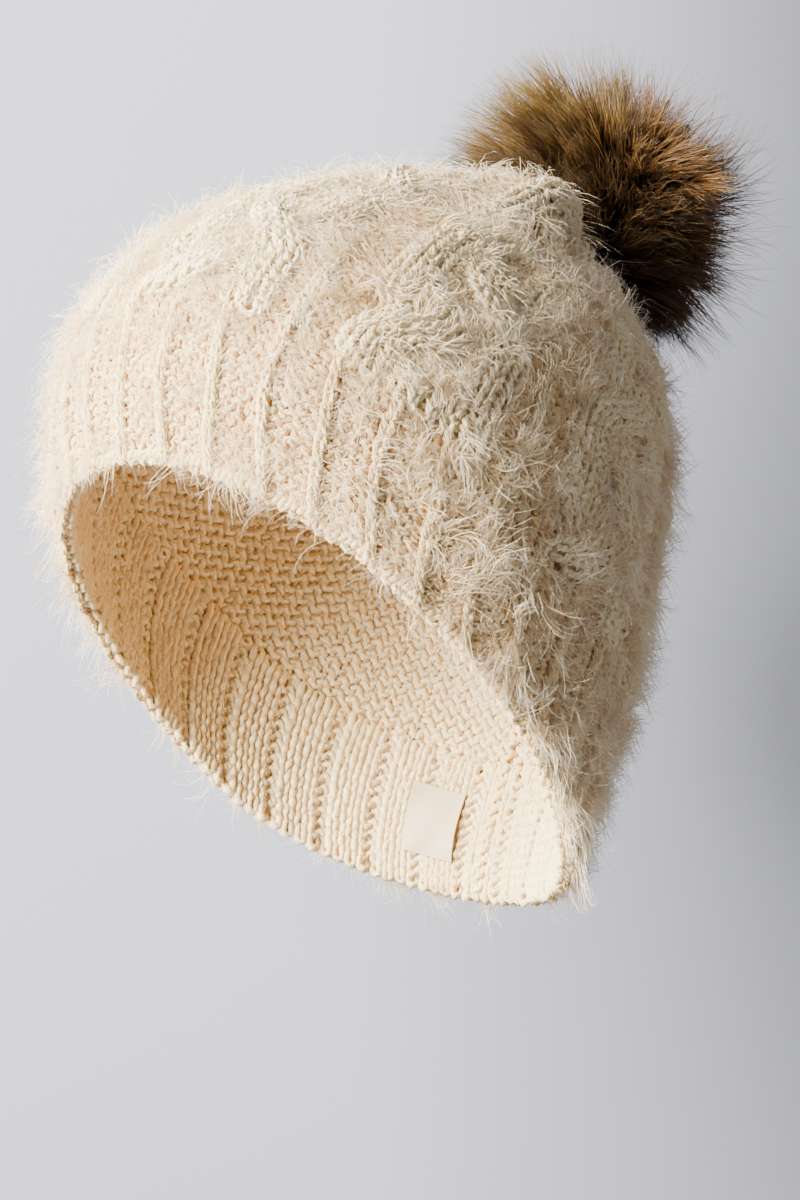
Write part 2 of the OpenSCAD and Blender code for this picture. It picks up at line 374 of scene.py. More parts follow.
def set_colour(mat, output):
    link(mat, output, mat.node_tree.nodes["Principled BSDF"].inputs["Base Color"])


def yarn_material(name, deep, middle, pale):
    """Soft spun yarn: darker and warmer where it dives into the fabric, as painted shade, with a
    fibrous bump.
    """
    mat = new_material(name, 0.85, Sheen_Weight=0.3, Sheen_Roughness=0.5, Specular_IOR_Level=0.2,
                       Subsurface_Weight=0.35, Subsurface_Scale=0.004,
                       Subsurface_Radius=(1.0, 0.65, 0.45))
    # painted shade: the lift attribute picks a darker, warmer tone for yarn deep in the fabric
    depth = ramp(mat, attribute(mat, "lift"), [(0.0, deep), (0.5, middle), (1.0, pale)])
    patches = noise(mat, 45.0)
    tint = ramp(mat, patches.outputs["Fac"], [(0.3, (0.93, 0.90, 0.86)), (0.7, (1.0, 1.0, 1.0))])
    set_colour(mat, mix(mat, 1.0, depth.outputs["Color"], tint.outputs["Color"], "MULTIPLY"))
    bump(mat, noise(mat, 1100.0, 2.0).outputs["Fac"], 0.9, 0.0010)
    return mat


# the yarn's tones from deep in the fabric to well out of it; the deep one is painted shade
CREAM_DEEP_SHADE = (0.74, 0.33, 0.09)
CREAM_MIDDLE = (0.90, 0.62, 0.31)
CREAM_PALE = (0.95, 0.73, 0.42)
yarn = yarn_material("cream_yarn", CREAM_DEEP_SHADE, CREAM_MIDDLE, CREAM_PALE)


def core_shade_material():
    """Painted shade: the wool that shows between the loops, coloured a deep warm orange as it looks
    in shade.
    """
    mat = new_material("yarn_core_shade", 0.95)
    spots = noise(mat, 260.0)
    set_colour(mat, ramp(mat, spots.outputs["Fac"],
                         [(0.3, (0.72, 0.24, 0.03)), (0.7, (0.84, 0.38, 0.09))]).outputs["Color"])
    bump(mat, noise(mat, 900.0).outputs["Fac"], 0.8, 0.0008)
    return mat


def lash_material():
    """Fine shiny polyester, a little warmer near the yarn."""
    mat = new_material("eyelash_fibre", 0.42, Specular_IOR_Level=0.5)
    root_to_tip = ramp(mat, attribute(mat, "along"), [
        (0.0, (0.92, 0.67, 0.37)), (0.45, (0.95, 0.77, 0.50)), (1.0, (0.97, 0.91, 0.78))])
    set_colour(mat, root_to_tip.outputs["Color"])
    return mat


core_shade_mat = core_shade_material()
lash_mat = lash_material()


# ========================================
# the yarn
# ========================================
LOOP_POINTS = 12          # points along one loop
loop_turn = np.linspace(0, 2 * np.pi, LOOP_POINTS + 1)


def course(stitches, width, lean, front):
    """One row of loops: place across in stitches, height in rows, and depth."""
    turn = np.concatenate([loop_turn[:-1] + 2 * np.pi * k for k in range(stitches)]
                          + [[2 * np.pi * stitches]])
    which = np.minimum(stitches - 1, (turn / (2 * np.pi)).astype(int))
    across = turn / (2 * np.pi) + lean[which] * np.sin(2 * turn)
    middle = which + 0.5
    across = middle + (across - middle) * width[which]
    height = -LOOP_TALL * np.cos(turn)
    # a back loop goes the other way through the fabric, and a little less deep
    depth = -LOOP_DEPTH * np.cos(2 * turn) * np.where(front[which], 1.0, -0.8)
    return across, height, depth


def uneven(p, size):
    """Loops that are not all alike: each point is shifted a little, smoothly along the yarn."""
    shift = rng.normal(0, size, p.shape)
    shift[1:-1] = (shift[:-2] + shift[1:-1] * 2 + shift[2:]) / 4
    return p + shift


def out_of_core(height):
    """0 in the middle of the fabric, 1 well out of it on either side; it sets the yarn's painted
    shade, darkest at 0.
    """
    return np.clip(np.abs(height) / 2.3, 0, 1)


def rib_relief(rib):
    """How far the band stands out at an angle within a rib, measured from its raised wale."""
    return RIDGE_RISE * np.exp(-((1 - np.cos(rib)) / RIDGE_WIDTH)) - SUNKEN


def band_relief(t):
    """The same at an angle round the hat."""
    return rib_relief(PANELS * RIBS * (t - PANEL_TURN) - 2 * np.pi * RIDGE_WALE / RIB_WALES)


def panel_start(k):
    """The angle at which a panel begins."""
    return PANEL_TURN + 2 * np.pi * k / PANELS


def band_rows():
    """The ribbed band: a narrow raised wale, then three sunken ones with purl bumps outside."""
    per_panel = RIBS * RIB_WALES
    kind = np.tile([False, True, False, False], RIBS)
    lean = np.where(kind, 0.15, 0.2)
    width = np.where(kind, 0.74, 1.04)
    across, height, depth = course(per_panel, width, lean, kind)
    relief = rib_relief(2 * np.pi * (across / RIB_WALES - RIDGE_WALE / RIB_WALES))
    paths, faces, lifts = [], [], []
    for row in range(BAND_ROWS):
        for k in range(PANELS):
            wobble = 0.12 * np.sin(1.7 * row + 2.3 * k + across)
            up = ROW_H * (row + 0.5 + height + 0.15 * wobble)
            wander = 0.006 * np.sin(0.55 * row + 1.9 * k + 0.8 * across)
            t = panel_start(k) + across / per_panel * 2 * np.pi / PANELS + wander
            lift = depth + relief - FABRIC_DEPTH + wobble
            p, out = lay(up, t, lift)
            p = uneven(p, 0.3)
            paths.append(p)
            faces.append(out)
            # how far the yarn is out of the fabric, which sets its painted shade
            lifts.append(out_of_core(depth + CORE_BAND))
    return np.array(paths), np.array(faces), np.array(lifts)


def share(row):
    """A row's stitches in a strand and in a gutter, and the gutter's share of the panel."""
    ring = float(ring_scale(height_to_s(ROW_H * (row + 0.5)))) * ROUND_R
    wide = 2 * np.pi * ring / PANELS
    for strand, gutter in ((3, 4), (2, 3), (1, 1)):
        if wide / (SLOTS * strand + gutter) > STITCH_W or strand == 1:
            break
    gutter_part = 0.30 - 0.15 * float(smooth((row - BAND_ROWS - 4) / (ROWS - BAND_ROWS - 8)))
    return strand, gutter, gutter_part


CROSS_ROWS = 7            # rows from one crossing of a plait to the next
SLOTS = 3                 # strands side by side in a plait
RIDE = 1.6                # how far a strand rises over another, or dips under it
RIDGE_ROWS = 6            # rows that a band's ridge runs on between two plaits


def strand_path(strand, row):
    """Which slot a plait's strand lies in at a row, and how high it rides."""
    slot = np.full(np.shape(row), float(strand))
    ride = np.zeros(np.shape(row))
    step = 0
    place = strand
    first = 2.0
    while first + step * CROSS_ROWS < ROWS - BAND_ROWS:
        begin = first + step * CROSS_ROWS
        pair = (0, 1) if step % 2 == 0 else (2, 1)
        if place in pair:
            other = pair[0] if place == pair[1] else pair[1]
            move = smooth((row - begin) / (CROSS_ROWS - 1.0))
            slot = slot + move * (other - place)
            over = place == pair[0]
            hump = np.sin(np.pi * np.clip((row - begin) / (CROSS_ROWS - 1.0), 0, 1)) ** 0.8
            ride = ride + hump * (RIDE if over else -RIDE)
            place = other
        step += 1
    return slot, ride


def plait_row(row, k, strand_n, gutter_part):
    """One row of a plait: the path, facing and lift of each of its strands."""
    # every other plait crosses half a crossing later
    phase = 0.0 if k % 2 == 0 else CROSS_ROWS / 2
    across, height, depth = course(
        strand_n, np.ones(strand_n), np.full(strand_n, 0.23), np.ones(strand_n, bool))
    x = across / strand_n - 0.5
    dome = 1.3 * (1 - (2 * x) ** 2) - 0.5
    made = []
    for strand in range(SLOTS):
        slot, ride = strand_path(strand, row - BAND_ROWS + 0.5 + height + phase)
        inside = gutter_part + (1 - gutter_part) * (slot + 0.5 + x * 1.04) / SLOTS
        t = panel_start(k) + 2 * np.pi / PANELS * inside
        stands = depth + dome + ride
        p, out = lay(ROW_H * (row + 0.5 + height), t, stands - FABRIC_DEPTH + 0.3)
        # the last value sets the yarn's painted shade
        made.append((uneven(p, 0.42), out, out_of_core(stands + 0.3 + CORE_CABLE)))
    return made


def gutter_row(row, k, gutter_n, gutter_part):
    """One row of the sunken gutter beside a plait, where a ridge of the band runs out."""
    kind = np.zeros(gutter_n, bool)
    ridge = 1 - float(smooth((row - BAND_ROWS - RIDGE_ROWS) / 5))
    if ridge > 0.3 and gutter_n >= 3:
        kind[1] = True
    across, height, depth = course(
        gutter_n, np.where(kind, 0.62, 1.04), np.where(kind, 0.14, 0.2), kind)
    rise = RIDGE_RISE * ridge * np.exp(-((across - RIDGE_WALE) / 0.45) ** 2) - 1.5
    t = panel_start(k) + 2 * np.pi / PANELS * gutter_part * across / gutter_n
    p, out = lay(ROW_H * (row + 0.5 + height), t, depth + rise - FABRIC_DEPTH)
    # the last value sets the yarn's painted shade
    return uneven(p, 0.35), out, out_of_core(depth + rise + CORE_CABLE)


def cable_rows():
    """Every row of the plaits and gutters, in groups with the same number of stitches."""
    found = {}
    for row in range(BAND_ROWS, ROWS):
        strand_n, gutter_n, gutter_part = share(row)
        for k in range(PANELS):
            found.setdefault(strand_n, []).extend(plait_row(row, k, strand_n, gutter_part))
            # a gutter's number is kept negative, so that it stays apart from a plait's
            found.setdefault(-gutter_n, []).append(gutter_row(row, k, gutter_n, gutter_part))
    return [[np.array(part) for part in zip(*found[count])] for count in sorted(found)]


def yarn_pieces(name, radius, paths, facing, lift):
    """Rows of plied yarn, in as many pieces as they need."""
    strands, strand_r, facing, values = plied(paths, facing, radius, {"lift": lift})
    return in_parts(name, YARN_TRIANGLES, strands, strand_r, 3, facing, values)


band_pieces = yarn_pieces("band_yarn", YARN_R, *band_rows())
cable_pieces = []
for number, rows in enumerate(cable_rows()):
    cable_pieces += yarn_pieces(f"cable_yarn_{number + 1}", CABLE_YARN_R, *rows)


def grid_mesh(name, points):
    """A thin sheet, joined up round its rows, through rows by columns of points in mm."""
    rows, cols, _ = points.shape
    index = np.arange(rows * cols).reshape(rows, cols)
    turned = np.roll(index, -1, axis=1)
    quads = np.stack([index[:-1], turned[:-1], turned[1:], index[1:]], -1).reshape(-1, 4)
    mesh = bpy.data.meshes.new(name)
    mesh.from_pydata((points.reshape(-1, 3) * MM).tolist(), [], quads.tolist())
    mesh.update()
    mesh.polygons.foreach_set("use_smooth", np.ones(len(quads), bool))
    return placed(name, mesh)


def inner_rows():
    """The inside of the fabric: ribs that mirror the band's, then purl bumps behind the cables."""
    found = {}
    for row in range(ROWS - 1):
        in_band = row < BAND_ROWS
        ring = float(ring_scale(height_to_s(ROW_H * (row + 0.5)))) * ROUND_R
        wide = 2 * np.pi * ring / PANELS
        count = next((n for n in (14, 10, 7, 4, 2) if wide / n > INNER_STITCH_W), 1)
        count = RIBS * RIB_WALES if in_band else count
        turn = np.linspace(0, 2 * np.pi * count, 8 * count + 1)
        across = turn / (2 * np.pi) + 0.2 * np.sin(2 * turn)
        raised = in_band & (np.floor(across) % RIB_WALES != 1)
        side = np.where(raised, 1.0, -1.0)
        for k in range(PANELS):
            t = panel_start(k) + across / count * 2 * np.pi / PANELS
            relief = 0.8 * band_relief(t) if in_band else 0.0
            lift = INNER_LOOP * side * np.cos(2 * turn) - INNER_DEPTH + relief
            p, out = lay(ROW_H * (row + 0.5 - LOOP_TALL * np.cos(turn)), t, lift)
            found.setdefault(count, []).append((uneven(p, 0.3), -out))
    pieces = []
    for number, rows in enumerate(found.values()):
        paths = np.array([r[0] for r in rows])
        faces = np.array([r[1] for r in rows])
        values = {"lift": np.full(paths.shape[:2], 0.8)}
        name = f"inner_yarn_{number + 1}"
        pieces += in_parts(name, YARN_TRIANGLES, paths, YARN_R, 4, faces, values)
    return pieces


def knit_core():
    """The fuzzy inside of the yarn, which closes the gaps between the loops: a sheet that carries
    painted shade.
    """
    up = np.linspace(0.5, HAT_LENGTH - 0.5, 130)
    turn = np.linspace(0, 2 * np.pi, 512, endpoint=False)
    up, turn = np.meshgrid(up, turn, indexing="ij")
    in_band = 1 - smooth((up - BAND_ROWS * ROW_H) / ROW_H)
    band = in_band * (band_relief(turn) - CORE_BAND)
    lift = band - (1 - in_band) * CORE_CABLE - FABRIC_DEPTH
    points, _ = lay(up, turn, lift)
    return grid_mesh("yarn_core_shade", points)


def put(pieces, mat, slot_name, body, *nodes):
    """Gives pieces their material and body, and hides the CAD nodes that they stand for; slot_name is
    not used.
    """
    for piece in pieces:
        piece.data.materials.append(mat)
        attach(piece, body)
        if nodes:
            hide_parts(*nodes)


put(band_pieces, yarn, "cream_yarn", "hat", "rib_band")
put(cable_pieces + inner_rows(), yarn, "cream_yarn", "hat", "cable_crown")
put([knit_core()], core_shade_mat, "cream_yarn", "hat", "rib_band", "cable_crown")


# ---- the cast-on edge: two strands twisted round each other along the brim ----
CAST_ON_TWISTS = 128      # turns of the twist round the brim
CAST_ON_R = 1.12
CAST_ON_OUT = 0.95        # how far each strand winds from the middle


def cast_on():
    """Two strands wound round each other, which follow the ribs in and out."""
    turn = np.linspace(0, 2 * np.pi, CAST_ON_TWISTS * 10 + 1)
    paths, faces = [], []
    for start in (0, np.pi):
        twist = CAST_ON_TWISTS * turn + start
        wave = 0.25 * np.sin(9 * turn) + 0.5 * np.sin(PANELS * RIBS * turn)
        up = 0.9 + CAST_ON_OUT * np.sin(twist) + wave
        lift = -FABRIC_DEPTH - 0.4 + CAST_ON_OUT * np.cos(twist) + band_relief(turn) * 0.6
        p, out = lay(up, turn, lift)
        paths.append(p)
        faces.append(out)
    paths = [uneven(p, 0.3) for p in paths]
    return make_tubes("cast_on_yarn", np.array(paths), CAST_ON_R, 6, np.array(faces),
                      extra={"lift": np.full((2, len(turn)), 0.85)})


put([cast_on()], yarn, "cream_yarn", "hat", "cast_on_edge")


# ---- the last loops, drawn together on a strand at the crown ----
GATHER_LOOPS = 30
DRAWN_R = 7.5             # radius of the ring that the drawn strand makes


def crown_place(p):
    """Points in the crown's own frame, standing on the gathered stitches, in the hat's."""
    return tip(p + np.array([0, -CROWN_FWD, CROWN_FLOOR]))


def gathers():
    """Loops that run in from the last row and dive through the drawn strand."""
    k = np.arange(GATHER_LOOPS)
    a = 2 * np.pi * k / GATHER_LOOPS
    r = np.array([15.5, 13.5, 11.5, 9.5, 8.2, 7.2, 6.9])
    z = np.array([-2.2, -1.5, -1.1, -1.3, -2.0, -3.2, -5.0])
    wave = 0.25 * rng.standard_normal((GATHER_LOOPS, len(r)))
    paths = np.stack([r * np.cos(a)[:, None], r * np.sin(a)[:, None], z + wave], -1)
    # the loops are painted darker towards the drawn strand: painted shade in the gathered hole
    return make_tubes("crown_loops", crown_place(paths), 1.15, 6, tip(np.array([0, 0, 1.0])),
                      extra={"lift": np.tile(np.linspace(0.9, 0.4, len(r)), (GATHER_LOOPS, 1))})


def drawn_strand():
    """The strand that the last loops are drawn up on."""
    turn = np.linspace(0, 2 * np.pi, 121)
    wave = 0.5 * np.sin(turn * GATHER_LOOPS / 2)
    path = np.stack([DRAWN_R * np.cos(turn), DRAWN_R * np.sin(turn), -3.6 + wave], -1)
    # the strand lies in the gathered hole and is painted darker: painted shade
    return make_tubes("drawn_strand", crown_place(path)[None], 1.0, 6, tip(np.array([0, 0, 1.0])),
                      extra={"lift": np.full((1, len(turn)), 0.6)})


put([gathers(), drawn_strand()], yarn, "cream_yarn", "hat", "crown_gather", "drawn_yarn")


# ---- the seam up the back, oversewn on the inside ----
SEAM_DEPTH = 7.6          # from the hat's outside to the strand's middle
SEAM_STEP = 5.0           # from one turn of the strand to the next


def back_seam():
    """A strand that winds from side to side over the seam."""
    up = np.arange(2.0, HAT_LENGTH - 12, SEAM_STEP / 8)
    turn = 2 * np.pi * up / SEAM_STEP
    ring = ring_scale(height_to_s(up)) * ROUND_R
    t = np.pi + 1.3 * np.sin(turn) / ring
    p, out = lay(up, t, -SEAM_DEPTH + 0.9 * np.cos(turn))
    return make_tubes("seam_strand", p[None], 0.9, 6, out[None],
                      extra={"lift": np.full((1, len(up)), 0.75)})


put([back_seam()], yarn, "seam_yarn", "hat", "back_seam")

# ========================================
# eyelash fibres
# ========================================
def brushed(up, t):
    """The heading in which fibres lie at a place, so that neighbouring tufts lie alike."""
    wide = 2.2 * np.sin(3 * t + up / 31 + 0.7) + 1.6 * np.sin(5 * t - up / 19)
    return wide + 1.3 * np.sin(up / 12 + 2 * t)


def tuft_places(pick, tufts, cover):
    """Where tufts grow. cover is how thickly, from 0 to 1, at a distance up and an angle."""
    tries = tufts * 5
    up = pick.uniform(-2.0, HAT_LENGTH - 6, tries)
    t = pick.uniform(0, 2 * np.pi, tries)
    # rows near the crown are shorter, so fewer tufts start there
    chance = ring_scale(np.clip(height_to_s(up), 0, TOP_ROW)) / 1.1 * cover(up, t)
    kept = np.flatnonzero(pick.random(tries) < chance)[:tufts]
    return up[kept], t[kept]


def lashes(name, tufts, each, length, root_lift, spread, radius, stand, seed, points, cover):
    """Tufts of fine fibres that lean and curl together."""
    pick = np.random.default_rng(seed)
    up, t = tuft_places(pick, tufts, cover)
    tufts = len(up)
    heading = brushed(up, t) + pick.normal(0, 0.9, tufts)
    # fibres next to the pom are short and lie flat, so they keep clear of it
    near_crown = smooth((up - HAT_LENGTH + 42) / 25)
    lean = stand * (1 - 0.65 * near_crown) + pick.normal(0, 0.22, tufts)
    curl = pick.normal(0, 1.3, tufts)
    long = length * pick.uniform(0.5, 1.3, tufts) * (1 - 0.5 * near_crown)

    def of_tuft(v):
        return np.repeat(v, each)

    n = tufts * each
    root_up = np.maximum(of_tuft(up) + pick.normal(0, spread, n), -2.5)
    ring = ROUND_R * np.maximum(0.25, ring_scale(np.clip(height_to_s(root_up), 0, TOP_ROW)))
    root_t = of_tuft(t) + pick.normal(0, spread, n) / ring
    p, out = lay(root_up, root_t, root_lift + pick.uniform(-1.0, 0.6, n))
    _, around, upward, _ = hat_frame(height_to_s(np.maximum(root_up, 0)), root_t)
    way = of_tuft(heading) + pick.normal(0, 0.45, n)
    flat = around * np.cos(way)[:, None] + upward * np.sin(way)[:, None]
    cross = np.cross(out, flat)
    tilt = np.clip(of_tuft(lean) + pick.normal(0, 0.15, n), 0.1, 1.3)[:, None]
    start = flat * np.cos(tilt) + out * np.sin(tilt)
    stands = (out * np.sin(tilt))[:, None, :]
    lies = np.cos(tilt)[:, None, :]
    size = (of_tuft(long) * pick.uniform(0.6, 1.15, n))[:, None, None]
    # each fibre turns steadily as it grows, so that it ends in an arc, and sags a little
    u = np.linspace(0, 1, points)[None, :, None]
    turn = (of_tuft(curl) + pick.normal(0, 0.55, n))[:, None, None] * u * (0.5 + 0.8 * u)
    step = lies * (flat[:, None, :] * np.cos(turn) + cross[:, None, :] * np.sin(turn))
    step = step + stands * (1 - 0.5 * u)
    step += np.array([0, 0, -0.25]) * u + pick.normal(0, 0.05, step.shape)
    step[:, 0] = 0
    path = p[:, None, :] + size * np.cumsum(step, axis=1) / (points - 1)
    taper = radius * (1 - 0.75 * np.linspace(0, 1, points) ** 3)[None, :]
    facing = unit(np.cross(start, pick.normal(0, 1, start.shape)))[:, None, :]
    return in_parts(name, FIBRE_TRIANGLES, path, taper * pick.uniform(0.8, 1.25, (n, 1)), 3, facing)


SPARSE_TURN = math.radians(5)       # where round the hat long fibres are fewest
SPARSE_WIDTH = math.radians(62)     # and how far to each side that reaches


def long_cover(up, t):
    """Long fibres: few on the band at the front, many from the cables up and round the sides."""
    high = smooth((up - 15) / 50)
    turn = (t - SPARSE_TURN + np.pi) % (2 * np.pi) - np.pi
    front = np.exp(-(turn / SPARSE_WIDTH) ** 2)
    return np.clip(0.95 - 0.80 * front * (1 - 0.80 * high), 0, 1)


def short_cover(up, t):
    """Short fibres: everywhere, a little thicker above the band."""
    return 0.85 + 0.15 * smooth((up - 40) / 60)


lash_pieces = lashes(
    "eyelash_long", tufts=4300, each=9, length=15.5, root_lift=-2.0, spread=1.3, radius=0.08,
    stand=0.66, seed=11, points=6, cover=long_cover)
lash_pieces += lashes(
    "eyelash_short", tufts=9000, each=7, length=6.5, root_lift=-1.6, spread=1.7, radius=0.05,
    stand=0.50, seed=12, points=3, cover=short_cover)
put(lash_pieces, lash_mat, "cream_yarn", "hat")


# ========================================
# the pom
# ========================================
def fur_material():
    """Dark at the root, a golden band, and black tips, redder and paler on one side; the paleness is
    painted light, and the shade attribute also carries painted shade under the pom.
    """
    mat = new_material("faux_fur", 0.38, Specular_IOR_Level=0.45)
    golden = ramp(mat, attribute(mat, "along"), [
        (0.0, (0.010, 0.006, 0.003)), (0.48, (0.024, 0.013, 0.003)), (0.66, (0.14, 0.078, 0.010)),
        (0.82, (0.30, 0.196, 0.050)), (0.93, (0.19, 0.128, 0.042)), (1.0, (0.028, 0.020, 0.009))])
    dark = ramp(mat, attribute(mat, "along"), [
        (0.0, (0.014, 0.008, 0.004)), (0.55, (0.036, 0.018, 0.006)), (0.78, (0.14, 0.072, 0.023)),
        (1.0, (0.010, 0.007, 0.005))])
    # the red ramp is paler than the golden one: painted light on the pom's shaded side
    red_and_lit = ramp(mat, attribute(mat, "along"), [
        (0.0, (0.012, 0.005, 0.003)), (0.45, (0.10, 0.034, 0.012)), (0.65, (0.45, 0.18, 0.045)),
        (0.88, (0.56, 0.33, 0.15)), (1.0, (0.05, 0.03, 0.02))])
    warm = mix(mat, attribute(mat, "red_and_lit"), golden.outputs["Color"], red_and_lit.outputs["Color"])
    # the shade attribute mixes towards dark: the locks' own tones, and painted shade under the pom
    set_colour(mat, mix(mat, attribute(mat, "shade"), warm, dark.outputs["Color"]))
    return mat


def fibonacci(n):
    """Evenly spread directions."""
    k = np.arange(n) + 0.5
    z = 1 - 2 * k / n
    a = np.pi * (1 + 5 ** 0.5) * k
    r = np.sqrt(1 - z * z)
    return np.stack([r * np.cos(a), r * np.sin(a), z], -1)


def shortened(path):
    """No strand reaches further from the pom's middle than its longest hair."""
    far = np.linalg.norm(path[:, -1], axis=-1)
    share_kept = np.minimum(1, LONGEST_HAIR / far)[:, None, None]
    return path[:, :1] + (path - path[:, :1]) * share_kept


def kept_clear(path, least):
    """Strands bend to stay clear of the crown, and hang lower where the crown falls away."""
    out_r = np.linalg.norm(path[..., :2], axis=-1)
    least = least - 0.008 * np.maximum(0, out_r - 30) ** 2
    z = path[..., 2]
    soft = least + 4 * np.exp(np.minimum(0, (z - least - 4) / 4))
    path[..., 2] = np.where(z < least + 4, soft, z)
    return path


def fur(name, count, tufts, reach, gather, radius, seed, floor_z, shade_mean, wild, fuller,
        shorter, ragged):
    """Strands that start on the ball and run together into tufts, large ones made of small ones."""
    pick = np.random.default_rng(seed)
    root = unit(fibonacci(count) + pick.normal(0, 0.02, (count, 3)))
    root = root[root[:, 2] > -0.93]
    n = len(root)
    big = unit(fibonacci(FUR_LOCKS) + LOCKS_SHIFT)
    small = unit(fibonacci(tufts) + pick.normal(0, 0.06, (tufts, 3)))
    in_big = np.argmax(root @ big.T, axis=1)
    in_small = np.argmax(root @ small.T, axis=1)
    small_way = pick.normal(0, 0.10, (tufts, 3))
    aim = unit(root * (1 - gather) + small[in_small] * gather * 0.65 + big[in_big] * gather * 0.35
               + pick.normal(0, wild, root.shape) + LOCKS_WAY[in_big] + small_way[in_small])
    # fur near the crown is pushed outwards by it
    flat = root * np.array([1, 1, 0.0])
    aim = unit(aim + 0.25 * np.clip(-root[:, 2:3] + 0.2, 0, 1) * unit(flat))
    # one side of the pom is fuller and longer, and the other is shorter
    long_side = smooth((root @ FULL_SIDE - 0.35) / 0.6)
    long = reach * (1 + LOCKS_LONG[in_big] + 0.09 * pick.standard_normal(tufts)[in_small]
                    + pick.normal(0, ragged, n) + fuller * long_side
                    - shorter * smooth(root @ RED_SIDE)) - BALL_R
    u = np.linspace(0, 1, FUR_POINTS)[None, :, None]
    swirl = np.cross(root, LOCKS_WAY[in_big] + small_way[in_small]) * 0.9
    path = (root * BALL_R)[:, None, :] + long[:, None, None] * (
        root[:, None, :] * u * (1 - u) * 0.6 + aim[:, None, :] * (u * 0.4 + 0.6 * u * u)
        + (swirl[:, None, :] + FUR_SAG) * u * u)
    path += np.cumsum(pick.normal(0, 0.012, path.shape), axis=1) * long[:, None, None] * u
    path = shortened(path) + np.array([0, 0, POM_UP])
    path = kept_clear(path, floor_z + pick.uniform(0, 4, (n, 1)))
    # whole locks are darker or paler, the fuller side is paler, and the underside next to the crown
    # is darkened with painted shade
    shade = LOCKS_SHADE[in_big] * 0.5 + 0.7 * pick.random(tufts)[in_small] + shade_mean - 0.15
    shade = shade + pick.normal(0, 0.30, n) - 0.30 * long_side
    shade = np.clip(shade + 0.65 * smooth((0.30 - root[:, 2]) / 0.6), 0, 1)
    # the redder side is also painted paler, as light
    red_and_lit = np.clip(0.5 + 1.1 * root @ RED_SIDE + pick.normal(0, 0.2, n), 0, 1)
    taper = radius * np.array(FUR_TAPER)[None, :] * pick.uniform(0.8, 1.2, (n, 1))
    facing = unit(np.cross(root, pick.normal(0, 1, root.shape)))
    values = {"shade": np.repeat(shade[:, None], FUR_POINTS, axis=1),
              "red_and_lit": np.repeat(red_and_lit[:, None], FUR_POINTS, axis=1)}
    facing = tip(facing)[:, None, :]
    return in_parts(name, FIBRE_TRIANGLES, crown_place(path), taper, 3, facing, values)


FUR_LOCKS = 110           # large locks, each with its own place, way, length and shade
LONGEST_HAIR = 60.0       # from the pom's middle to the tip of its longest hair
LOCKS_SHIFT = rng.normal(0, 0.12, (FUR_LOCKS, 3))
LOCKS_WAY = rng.normal(0, 0.12, (FUR_LOCKS, 3))
LOCKS_LONG = rng.normal(0, 0.10, FUR_LOCKS)
LOCKS_SHADE = rng.random(FUR_LOCKS)
FUR_SAG = np.array([0.0, -0.05, -0.09])
# directions in the crown's frame: where the fur is longer, and where it is redder, paler with painted
# light, and shorter
FULL_SIDE = unit(np.array([-0.72, -0.55, 0.20]))
RED_SIDE = unit(np.array([0.70, 0.60, 0.25]))

fur_mat = fur_material()
fur_pieces = fur(
    "underfur", count=15500, tufts=330, reach=43.5, gather=0.92, radius=0.15, seed=21, floor_z=10.0,
    shade_mean=0.10, wild=0.05, fuller=0.18, shorter=0.12, ragged=0.06)
fur_pieces += fur(
    "guard_hair", count=6000, tufts=500, reach=52.0, gather=0.60, radius=0.085, seed=22, floor_z=10.5,
    shade_mean=0.50, wild=0.16, fuller=0.26, shorter=0.05, ragged=0.12)
put(fur_pieces, fur_mat, "faux_fur", "pom", "fur_pile")


# ---- the stuffed ball under the fur, drawn in at its neck ----
BALL_SKIN = 0.4           # how far the cloth lies under the roots of the fur


def fur_ball():
    """Fur cloth drawn up round the filling: puckered at the neck, with the gathers fading out."""
    rows, cols = 40, 96
    down = np.linspace(np.radians(6), np.radians(163), rows)[:, None]
    a = np.linspace(0, 2 * np.pi, cols, endpoint=False)[None, :]
    pucker = 0.9 * smooth((down - 1.9) / 0.9) * np.cos(16 * a + 0.6 * np.sin(3 * a))
    lump = 0.35 * np.sin(3 * a + 2 * down) + 0.3 * np.sin(5 * a - 3 * down)
    r = BALL_R - BALL_SKIN + pucker * 0.5 + lump * np.sin(down)
    points = np.stack([r * np.sin(down) * np.cos(a), r * np.sin(down) * np.sin(a),
                       POM_UP + r * np.cos(down)], -1)
    neck = points[-1:] * np.array([0.55, 0.55, 1]) + np.array([0, 0, 1.5])
    points = np.concatenate([points, neck])
    return grid_mesh("fur_ball", crown_place(points))


def ball_material():
    """The knitted backing of the fur."""
    mat = new_material("fur_cloth", 0.9, Sheen_Weight=0.2)
    set_colour(mat, ramp(mat, noise(mat, 300.0).outputs["Fac"], [
        (0.3, (0.030, 0.016, 0.008)), (0.7, (0.085, 0.045, 0.020))]).outputs["Color"])
    bump(mat, noise(mat, 1100.0).outputs["Fac"], 0.7, 0.0006)
    return mat


ball = fur_ball()
put([ball], ball_material(), "fur_cloth", "pom", "fur_backing", "stuffing")


# ========================================
# the care label and the parts that keep their CAD shape
# ========================================
def speckled(name, dark, pale, scale, roughness, height=0.0004, **sockets):
    """A material whose colour varies between two close tones, with a fine bump."""
    mat = new_material(name, roughness, **sockets)
    spots = ramp(mat, noise(mat, scale).outputs["Fac"], [(0.3, dark), (0.7, pale)])
    set_colour(mat, spots.outputs["Color"])
    bump(mat, noise(mat, scale * 3).outputs["Fac"], 0.5, height)
    return mat


